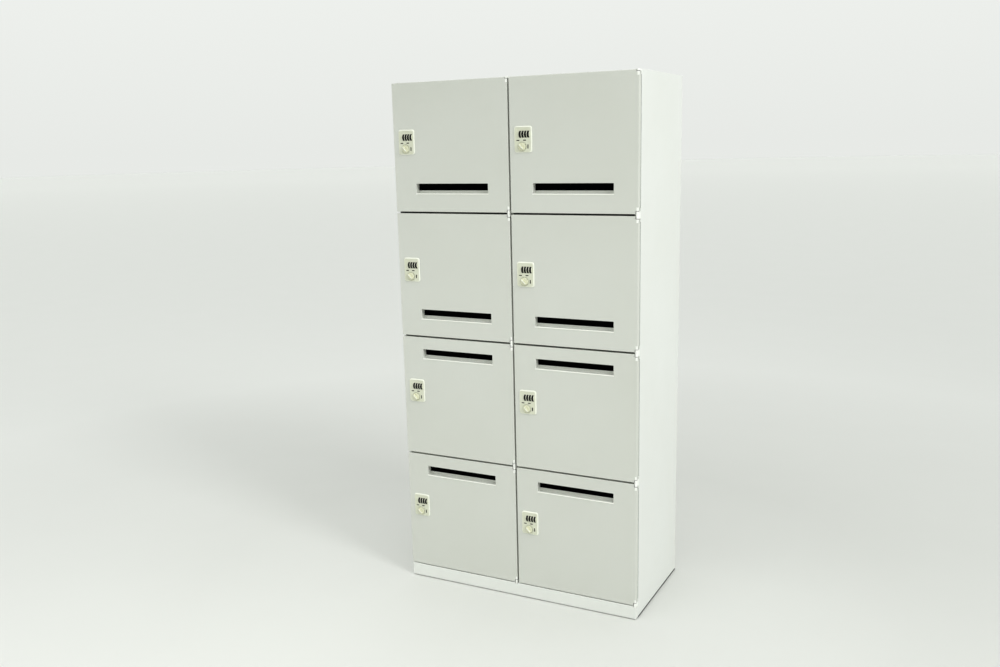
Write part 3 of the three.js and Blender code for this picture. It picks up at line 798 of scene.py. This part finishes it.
def door_pan(label):
    """Folded pan with rolled edges, a flared mail slot, a lock cut-out and notched hinge corners."""
    node = f"door_{label}"
    low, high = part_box(node)
    radius = FOLD + SHEET
    one = Vector((SHEET, SHEET, SHEET))
    lip = Vector((DOOR_LIP, 0, DOOR_LIP))
    pan = block(low, high, radius)
    hollow = block(low + one, high - one, FOLD)
    opening = rectangle(low.x + lip.x, high.x - lip.x, low.z + lip.z, high.z - lip.z, 3 * MM)
    rear_opening = prism(opening, "y", high.y - 2 * SHEET, high.y + SHEET)

    lower, upper = knuckle_ends(label)
    notch_x = high.x - NOTCH_WIDTH
    axis = hinge_axis(label)
    edge = Vector((high.x + SHEET, high.y + SHEET, 0))
    roll = Vector((axis.x - 1.5 * MM, axis.y + KNUCKLE_RADIUS + 0.6 * MM, 0))
    notches = [
        block((notch_x, low.y - SHEET, low.z - SHEET), (edge.x, edge.y, lower)),
        block((notch_x, low.y - SHEET, upper), (edge.x, edge.y, high.z + SHEET)),
        block((roll.x, low.y - SHEET, lower - SHEET), (edge.x, roll.y, lower + KNUCKLE_LENGTH)),
        block((roll.x, low.y - SHEET, upper - KNUCKLE_LENGTH), (edge.x, roll.y, upper + SHEET)),
    ]

    x0, x1, z0, z1 = slot_of(label)
    inset = low.y + SHEET / 2
    walls = block((x0 - SHEET, inset, z0 - SHEET), (x1 + SHEET, high.y, z1 + SHEET), 0.8 * MM)
    cavity = slot_cavity((x0, x1, z0, z1), low.y, high.y - SHEET)
    mouth_outline = rectangle(x0, x1, z0 + SILL_HEIGHT, z1, 0.8 * MM)
    mouth = prism(mouth_outline, "y", high.y - 2 * SHEET, high.y + SHEET)

    centre = plate_centre(label)
    half = CASE / 2 + Vector((0.5, 0, 0.5)) * MM
    lock_hole = block(
        (centre.x - half.x, low.y - SHEET, centre.z - half.z),
        (centre.x + half.x, low.y + 2 * SHEET, centre.z + half.z),
    )
    shell = combined(pan, cuts=[hollow, rear_opening, *notches, lock_hole])
    shape = combined(shell, joins=[walls], cuts=[cavity, mouth])
    piece(f"{node}_pan", shape, DOOR_PAINT, node, [node])


def slot_trim(label):
    """White half-round strip under the slot, which letters slide over; its white also paints the highlight
    along the slot's lower edge.
    """
    x0, x1, z0, _ = slot_of(label)
    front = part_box(f"door_{label}")[0].y
    low = (x0 - SLOT_EDGE, front - SLOT_TRIM.y, z0 - 0.5 * MM - SLOT_TRIM.z)
    shade_strip = block(low, (x1 + SLOT_EDGE, front + 0.6 * MM, z0 - 0.5 * MM), 0.85 * MM)
    piece(f"door_{label}_slot_trim", shade_strip, WHITE_FOR_PAINTED_HIGHLIGHTS, f"door_{label}")


def door_washers(label):
    """Dark washers between the door's knuckles and the hinge brackets."""
    lower, upper = knuckle_ends(label)
    axis = hinge_axis(label)
    thick = KNUCKLE_GAP - 0.2 * MM
    outer = KNUCKLE_RADIUS + 0.1 * MM
    profile = [(PIN_BORE, 0), (outer, 0), (outer, thick), (PIN_BORE, thick)]
    rings = [revolve(profile, "z", (axis.x, axis.y, start), 32) for start in (lower - thick, upper)]
    piece(f"door_{label}_washers", gathered(rings), RUBBER, f"door_{label}")


def door_knuckles(label):
    """Two bored barrels welded into the notched corners."""
    lower, upper = knuckle_ends(label)
    length = KNUCKLE_LENGTH + 2 * MM
    axis = hinge_axis(label)
    chamfer = 0.5 * MM
    inner = KNUCKLE_RADIUS - chamfer
    profile = [(PIN_BORE, 0), (inner, 0), (KNUCKLE_RADIUS, chamfer)]
    profile += [(KNUCKLE_RADIUS, length - chamfer), (inner, length), (PIN_BORE, length)]
    starts = (lower, upper - length)
    barrels = [revolve(profile, "z", (axis.x, axis.y, start), 32) for start in starts]
    name = f"door_{label}_knuckles"
    piece(name, gathered(barrels), HINGE_PAINT_WITH_PAINTED_HIGHLIGHT, f"door_{label}")


def door_stiffener(label):
    """Upright hat channel spot-welded to the inside of the door, clear of the mail slot."""
    low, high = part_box(f"door_{label}")
    x0, x1, z0, z1 = slot_of(label)
    below = z0 - low.z > high.z - z1
    start, end = (low.z + 20 * MM, z0 - 12 * MM) if below else (z1 + 12 * MM, high.z - 20 * MM)
    inside = low.y + SHEET + 0.4 * MM
    middle = (low.x + high.x) / 2 + 30 * MM
    section = [(-27, 0), (-16, 0), (-12, 12), (12, 12), (16, 0), (27, 0)]
    path = [(middle + u * MM, inside + v * MM) for u, v in section]
    channel = prism(folded(path, 0.8 * MM), "z", start, end)
    welds = []
    for side in (-21.5 * MM, 21.5 * MM):
        for i in range(6):
            height = start + 18 * MM + (end - start - 36 * MM) * i / 5
            dimple = [(0, 0), (2.6 * MM, 0), (2.4 * MM, 0.18 * MM), (1.6 * MM, 0.08 * MM), (0, 0.08 * MM)]
            welds.append(revolve(dimple, "y", (middle + side, inside + 0.4 * MM, height), 16))
    name = f"door_{label}_stiffener"
    piece(name, gathered([channel, *welds]), DOOR_PAINT, f"door_{label}")


def letter_guide(label):
    """Black chute behind the slot, which turns letters down and hides the inside; its near-black flock
    paints the shade seen through the slot.
    """
    x0, x1, z0, z1 = slot_of(label)
    _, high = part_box(f"door_{label}")
    top, foot, front = z1 + GUIDE_SIDE, z0 - 24 * MM, high.y
    slope = [(front, top), (front + 8 * MM, top), (front + 34 * MM, foot)]
    back = prism(folded(slope, GUIDE_WALL), "x", x0 - GUIDE_SIDE, x1 + GUIDE_SIDE)
    side = [(front, top), (front + 7 * MM, top), (front + 33 * MM, foot), (front, z0 - 8 * MM)]
    cheeks = [prism(side, "x", x, x + GUIDE_WALL) for x in (x0 - GUIDE_SIDE, x1 + GUIDE_SIDE - GUIDE_WALL)]
    chute = combined(back, joins=cheeks)
    piece(f"door_{label}_letter_guide", chute, FLOCK_FOR_PAINTED_SHADE, f"door_{label}", edge=0.2 * MM)


def door_bumpers(label):
    """Two rubber domes behind the lock side of the door."""
    low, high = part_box(f"door_{label}")
    profile = [(0, 0), (4 * MM, 0), (4 * MM, 0.8 * MM)]
    profile += [(3.2 * MM, 2 * MM), (1.8 * MM, 2.6 * MM), (0, 2.7 * MM)]
    heights = (low.z + 30 * MM, high.z - 30 * MM)
    domes = [revolve(profile, "y", (low.x + 6 * MM, high.y, z), 24) for z in heights]
    piece(f"door_{label}_bumpers", gathered(domes), RUBBER, f"door_{label}")


# -------- locks


def plate_centre(label):
    """Middle of the lock plate, on the plane of the door's front."""
    low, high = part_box(f"lock_housing_{label}")
    return Vector(((low.x + high.x) / 2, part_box(f"door_{label}")[0].y, (low.z + high.z) / 2))


def wheel_middles(label):
    """Middles of the four number wheels."""
    low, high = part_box(f"number_wheels_{label}")
    middle = (low + high) / 2
    return [middle + Vector(((i - 1.5) * WHEEL_PITCH, 0, 0)) for i in range(WHEEL_COUNT)]


def lock_plate(label):
    """Plate with a raised rim, a groove around the knob and a hood of ribs around the wheels."""
    node = f"lock_housing_{label}"
    centre = plate_centre(label)
    steps = 7
    sections = [(-PLATE_GAP, 0), (PLATE_ROLL.y - PLATE_PROUD, 0)]
    for i in range(1, steps + 1):
        angle = math.radians(90 * i / steps)
        inward = PLATE_ROLL.x * (1 - math.cos(angle))
        sections.append((PLATE_ROLL.y * (1 - math.sin(angle)) - PLATE_PROUD, inward))
    loops = []
    half = PLATE / 2
    for depth, inward in sections:
        x, z = half.x - inward, half.z - inward
        outline = rectangle(centre.x - x, centre.x + x, centre.z - z, centre.z + z, PLATE_CORNER - inward, 8)
        loops.append([SWAPS["y"](u, v, centre.y + depth) for u, v in outline])
    wide, thin = PLATE_RIM
    across = (centre.x - half.x + thin, centre.x + half.x - wide)
    upright = (centre.z - half.z + thin, centre.z + half.z - wide)
    field = rectangle(*across, *upright, PLATE_CORNER - wide / 2)
    inside = prism(field, "y", centre.y - PLATE_PROUD - SHEET, centre.y + SHEET)
    rim = combined(loft(loops), cuts=[inside])
    piece(f"lock_{label}_rim", rim, RIM_CREAM_WITH_PAINTED_HIGHLIGHT, f"door_{label}", edge=0.25 * MM)
    plate = prism(field, "y", centre.y - PLATE_FIELD, centre.y - PLATE_GAP)

    wheels = wheel_middles(label)
    axis = wheels[0]
    start = wheels[0].x - WHEEL_WIDTH / 2 - HOOD_SIDE
    length = wheels[-1].x + WHEEL_WIDTH / 2 + HOOD_SIDE - start
    shoulder = 1.2 * MM
    core = HOOD_RADIUS - shoulder
    rounding = arc((0, 0), shoulder, 0, 90, 5)
    profile = [(0, 0)]
    profile += [(core + r, shoulder - h) for h, r in rounding]
    profile += [(core + r, length - shoulder + h) for r, h in rounding]
    profile += [(0, length)]
    hood = revolve(profile, "x", (start, axis.y, axis.z), 72)
    width = WHEEL_WIDTH + 2 * WHEEL_GAP
    slots = []
    for wheel in wheels:
        left = wheel.x - width / 2
        slots.append(cylinder(WHEEL_RADIUS + WHEEL_GAP, width, 0.01 * MM, "x", (left, axis.y, axis.z), 64))
    axle = cylinder(3.3 * MM, length - 2 * MM, 0.1 * MM, "x", (start + 1 * MM, axis.y, axis.z), 16)
    knob = AXES[f"knob_{label}"]
    bore = cylinder(SPINDLE_BORE, 20 * MM, 0.1 * MM, "y", (knob.x, centre.y - 8 * MM, knob.z), 24)
    front = centre.y - PLATE_FIELD
    inner, outer = KNOB_GROOVE
    groove = [(inner, -0.7 * MM), (outer, -0.7 * MM), (outer, 1.5 * MM), (inner, 1.5 * MM)]
    ring = revolve(groove, "y", (knob.x, front + 0.3 * MM, knob.z), 48)
    key = centre + KEY_PLACE
    key_well = oval(key, 3.6 * MM, 8 * MM, 3.5 * MM, centre.y - PLATE_PROUD - SHEET, front + 0.7 * MM)
    rear = block(
        (centre.x - 40 * MM, centre.y - 0.3 * MM, centre.z - 50 * MM),
        (centre.x + 40 * MM, centre.y + 30 * MM, centre.z + 50 * MM),
    )
    shape = combined(plate, joins=[hood], cuts=[*slots, axle, bore, ring, key_well, rear])
    piece(f"lock_{label}_plate", shape, CREAM, f"door_{label}", [node])


def lock_case(label):
    """Dark case behind the door with a screwed cover; the wheels and the spindle have room in it."""
    centre = plate_centre(label)
    _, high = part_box(f"lock_housing_{label}")
    half = CASE / 2
    case = block(
        (centre.x - half.x, centre.y - 0.2 * MM, centre.z - half.z),
        (centre.x + half.x, high.y - 2 * MM, centre.z + half.z),
        1.5 * MM,
    )
    cover = block(
        (centre.x - half.x + 2 * MM, high.y - 3 * MM, centre.z - half.z + 2 * MM),
        (centre.x + half.x - 2 * MM, high.y, centre.z + half.z - 2 * MM),
        1 * MM,
    )
    wheels = wheel_middles(label)
    reach = Vector((WHEEL_WIDTH / 2 + WHEEL_GAP, WHEEL_RADIUS + 0.5 * MM, WHEEL_RADIUS + 0.5 * MM))
    room = block(wheels[0] - reach, wheels[-1] + reach)
    knob = AXES[f"knob_{label}"]
    bore = cylinder(SPINDLE_BORE, 60 * MM, 0.1 * MM, "y", (knob.x, centre.y - 20 * MM, knob.z), 24)
    shape = combined(case, joins=[cover], cuts=[room, bore])
    piece(f"lock_{label}_case", shape, CASE_GREY, f"door_{label}")
    corners = [(u * (half.x - 7 * MM), v * (half.z - 7 * MM)) for u in (-1, 1) for v in (-1, 1)]
    heads = [screw_head(3 * MM, (centre.x + u, high.y - 0.2 * MM, centre.z + v), 1) for u, v in corners]
    piece(f"lock_{label}_screws", gathered(heads), ZINC, f"door_{label}")


def lock_key(label):
    """Master key's socket: a raised oval rim around a narrow slot, with a black insert at its back that
    paints the shade inside the slot.
    """
    face = plate_centre(label) + KEY_PLACE
    front = face.y - PLATE_FIELD
    rim = oval(face, 3.4 * MM, 7.8 * MM, 3.3 * MM, front - 0.2 * MM, front + 0.8 * MM)
    slot = oval(face, 1.8 * MM, 6.5 * MM, 1.7 * MM, front - SHEET, front + 0.5 * MM)
    name = f"lock_{label}_key_socket"
    piece(name, combined(rim, cuts=[slot]), CREAM, f"door_{label}", edge=0.12 * MM)
    well = oval(face, 1.75 * MM, 6.45 * MM, 1.65 * MM, front + 0.3 * MM, front + 0.6 * MM)
    piece(f"lock_{label}_key_slot", well, BLACK, f"door_{label}")


def lock_marks(label):
    """Plain printed bars above the knob and the key, and index ticks beside the read digits."""
    centre = plate_centre(label)
    front = centre.y - PLATE_FIELD
    bars = []
    for mark in MARKS:
        bars.append(oval(centre + mark, 5.2 * MM, 1.5 * MM, 0.6 * MM, front - 0.08 * MM, front + 0.2 * MM))
    wheels = wheel_middles(label)
    hood_front = wheels[0].y - HOOD_RADIUS
    for wheel in wheels:
        for side in (-1, 1):
            x = wheel.x + side * (WHEEL_WIDTH / 2 + WHEEL_GAP + 0.65 * MM)
            low = (x - 0.5 * MM, hood_front - 0.05 * MM, wheel.z - 0.45 * MM)
            bars.append(block(low, (x + 0.5 * MM, hood_front + 0.3 * MM, wheel.z + 0.45 * MM)))
    piece(f"lock_{label}_marks", gathered(bars), DARK_INK, f"door_{label}")


def digit_mesh(digit):
    """One digit as a thin raised mesh, middle at the origin, facing -Y."""
    curve = bpy.data.curves.new("digit", "FONT")
    curve.body = str(digit)
    curve.size = DIGIT_SIZE
    curve.extrude = 0.06 * MM
    curve.resolution_u = 3
    curve.align_x = "CENTER"
    curve.align_y = "CENTER"
    mesh = from_object(placed("digit", curve))
    bpy.data.curves.remove(curve)
    mesh.transform(Matrix.Rotation(math.radians(90), 4, "X"))
    return mesh


DIGIT_MESHES = [digit_mesh(digit) for digit in range(DIGITS)]


def number_wheels(label, turn):
    """Four black wheels on a steel axle, each with ten flats, notches and digits, turned to a number."""
    node = f"number_wheels_{label}"
    body = f"wheels_{label}"
    middles = wheel_middles(label)
    axis = middles[0]
    step = 360 / DIGITS
    shoulder = 5  # degrees from a notch's middle to where the flat starts
    flat = WHEEL_RADIUS * math.cos(math.radians(step / 2 - shoulder))
    notch = 1.0 * MM
    outline = []
    for i in range(DIGITS):
        corner = turn + (i + 0.5) * step
        outline += arc((0, 0), WHEEL_RADIUS, corner - shoulder, corner - 2.6, 1)
        outline += arc((0, 0), WHEEL_RADIUS - notch, corner - 1.8, corner + 1.8, 2)
        outline += arc((0, 0), WHEEL_RADIUS, corner + 2.6, corner + shoulder, 1)
    outline = [(axis.y + u, axis.z + v) for u, v in outline]
    wheels = []
    for middle in middles:
        wheels.append(prism(outline, "x", middle.x - WHEEL_WIDTH / 2, middle.x + WHEEL_WIDTH / 2))
    piece(f"{node}_wheels", gathered(wheels), BLACK, body, [node], 0.25 * MM)

    low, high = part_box(node)
    axle = cylinder(3 * MM, high.x - low.x, 0.3 * MM, "x", (low.x, axis.y, axis.z), 20)
    piece(f"{node}_axle", axle, ZINC, body)

    bm = bmesh.new()
    for number, middle in enumerate(middles):
        for i in range(DIGITS):
            mesh = DIGIT_MESHES[(i + 3 * number) % DIGITS].copy()
            lift = Matrix.Translation((0, -flat, 0))
            spin = Matrix.Rotation(math.radians(180 - turn + i * step), 4, "X")
            mesh.transform(Matrix.Translation(middle) @ spin @ lift)
            bm.from_mesh(mesh)
            bpy.data.meshes.remove(mesh)
    piece(f"{node}_digits", bm, INK, body)


def lock_knob(label):
    """Round knob with a grip bar, its spindle, and a steel cam held by a nut behind the case."""
    node = f"lock_knob_{label}"
    body = f"knob_{label}"
    low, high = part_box(node)
    axis = AXES[body]
    plate_front = plate_centre(label).y - PLATE_PROUD
    back = plate_front - 0.3 * MM
    r = KNOB_RADIUS
    profile = [(0, 0), (r - 0.3 * MM, 0), (r, 0.4 * MM), (r, 1.6 * MM), (r - 0.9 * MM, 2.5 * MM)]
    profile += [(r - 3 * MM, 2.9 * MM), (7 * MM, 3.2 * MM), (0, 3.2 * MM)]
    profile = [(radius, -height) for radius, height in profile]
    disc = revolve(profile, "y", (axis.x, back, axis.z), 56)
    inlay_rise = 0.25 * MM
    depth = back - low.y - 1 * MM - inlay_rise
    half = GRIP / 2
    bar_back = rectangle(-half.x, half.x, -half.z, half.z, half.z - 0.2 * MM, 8)
    front_x, front_z = half.x - 1 * MM, half.z - 0.9 * MM
    bar_front = rectangle(-front_x, front_x, -front_z, front_z, 1.9 * MM, 8)
    loops = [[SWAPS["y"](u, v, 0) for u, v in bar_back]]
    rounding = 0.8 * MM
    for i in range(5):
        angle = math.radians(90 * i / 4)
        shrink = rounding * (1 - math.cos(angle)) / half.x
        height = -depth + rounding * (1 - math.sin(angle))
        loops.append([SWAPS["y"](u * (1 - shrink), v * (1 - 4 * shrink), height) for u, v in bar_front])
    tilt = Matrix.Rotation(KNOB_TILT, 4, "Y")
    grip = moved(loft(loops), Matrix.Translation((axis.x, back - 1 * MM, axis.z)) @ tilt)
    spindle_front = cylinder(4 * MM, 24 * MM, 0.3 * MM, "y", (axis.x, back - 1 * MM, axis.z), 24)
    shape = combined(disc, joins=[grip, spindle_front])
    piece(f"{node}_grip", shape, KNOB_CREAM, body, [node])

    # A white pointer line along the grip's top, whose white also paints the highlight on the grip bar.
    highlight_inlay = rectangle(-half.x + 2.4 * MM, half.x - 2.4 * MM, -1.1 * MM, 1.1 * MM, 1 * MM)
    line = prism(highlight_inlay, "y", 0, 2 * inlay_rise)
    front = Matrix.Translation((axis.x, low.y, axis.z))
    piece(f"{node}_inlay", moved(line, front @ tilt), WHITE_FOR_PAINTED_HIGHLIGHTS, body)

    cam_front = high.y - 5 * MM
    cam_rear = cam_front + CAM_THICKNESS
    stadium = arc((axis.x, axis.z), CAM_END, 0, 180, 14)
    stadium += arc((axis.x, low.z + CAM_END), CAM_END, 180, 360, 14)
    cam = prism(stadium, "y", cam_front, cam_rear)
    hexagon = arc((axis.x, axis.z), 5.8 * MM, 0, 300, 5)
    nut = prism(hexagon, "y", cam_rear, high.y - 0.6 * MM)
    end = cylinder(3 * MM, 6 * MM, 0.5 * MM, "y", (axis.x, high.y - 6 * MM, axis.z), 24)
    piece(f"{node}_cam", gathered([cam, nut, end]), ZINC, body, edge=0.3 * MM)


# -------- the whole locker

for hand in COLUMNS:
    side_panel(hand)
    floor_seal(hand)
    for end in ("front", "rear"):
        levelling_foot(end, hand)
top_panel()
bottom_panel()
back_panel()
centre_partition()
plinth()
for column in COLUMNS:
    for number in (1, 2, 3):
        shelf(column, number)
        shelf_strip(column, number)
    for number in (1, 2, 3, 4, 5):
        hinge_bracket(column, number)
for row in ROWS:
    hinge_side_strip(row)

for index, label in enumerate(LABELS):
    door_pan(label)
    slot_trim(label)
    door_knuckles(label)
    door_washers(label)
    door_stiffener(label)
    letter_guide(label)
    door_bumpers(label)
    lock_plate(label)
    lock_case(label)
    lock_key(label)
    lock_marks(label)
    number_wheels(label, turn=36 * (3 * index % DIGITS))
    lock_knob(label)

# -------- stage, lights and camera


def stage_floor():
    """A disc so wide that its edge can't be told from the horizon."""
    disc = revolve([(0, 0), (80, 0), (80, -0.02), (0, -0.02)], "z", (0, 0, 0), 96)
    floor = placed("floor", to_mesh(disc, "floor"))
    floor.data.materials.append(FLOOR_WITH_PAINTED_SHADE)


def area_light(name, place, target, size, power, spread):
    """A rectangular light aimed at a target, its spread in degrees."""
    light = bpy.data.lights.new(name, "AREA")
    light.shape = "RECTANGLE"
    light.size, light.size_y = size
    light.energy = power
    light.spread = math.radians(spread)
    obj = placed(name, light)
    obj.location = place
    obj.rotation_euler = (Vector(target) - Vector(place)).to_track_quat("-Z", "Y").to_euler()


def studio():
    """Pale surroundings, a key light from the right and above, and a wash on the floor in front."""
    world = bpy.data.worlds.new("studio")
    world.use_nodes = True
    nodes, links = world.node_tree.nodes, world.node_tree.links
    background = nodes["Background"]
    texture = nodes.new("ShaderNodeTexCoord")
    parts = nodes.new("ShaderNodeSeparateXYZ")
    ramp = nodes.new("ShaderNodeMapRange")
    ramp.inputs["From Max"].default_value = 0.14
    mix = nodes.new("ShaderNodeMix")
    mix.data_type = "RGBA"
    fill(mix, {"A": srgb(236, 238, 235), "B": srgb(241, 243, 240)})
    links.new(texture.outputs["Generated"], parts.inputs[0])
    links.new(parts.outputs["Z"], ramp.inputs["Value"])
    links.new(ramp.outputs["Result"], mix.inputs["Factor"])
    links.new(mix.outputs["Result"], background.inputs["Color"])
    background.inputs["Strength"].default_value = 1.0
    bpy.context.scene.world = world
    area_light("key", (5.4, -2.2, 4.6), (0, 0, 1.1), (1.8, 1.8), 19.5, 65)
    area_light("floor_wash", (-0.2, -1.7, 3.4), (-0.2, -1.3, 0), (3.0, 1.0), 8.4, 80)


def camera():
    """A standing person's view from the front right."""
    yaw, pitch, roll = math.radians(27.24), math.radians(-12.253), math.radians(1.366)
    turn = Matrix.Rotation(yaw, 3, "Z") @ Matrix.Rotation(pitch, 3, "X") @ Matrix.Rotation(roll, 3, "Y")
    right, forward, up = turn.col
    lens = bpy.data.cameras.new("camera")
    lens.sensor_fit = "HORIZONTAL"
    lens.sensor_width = 36
    lens.lens = 34.77
    lens.shift_x = -0.0028
    lens.shift_y = 0.0203
    obj = placed("camera", lens)
    basis = Matrix((right, up, -forward)).transposed().to_4x4()
    obj.matrix_world = Matrix.Translation((1.4600, -3.1336, 1.6139)) @ basis
    bpy.context.scene.camera = obj


stage_floor()
studio()
camera()
bpy.context.scene.view_settings.view_transform = "Standard"
bpy.context.scene.view_settings.gamma = 0.8
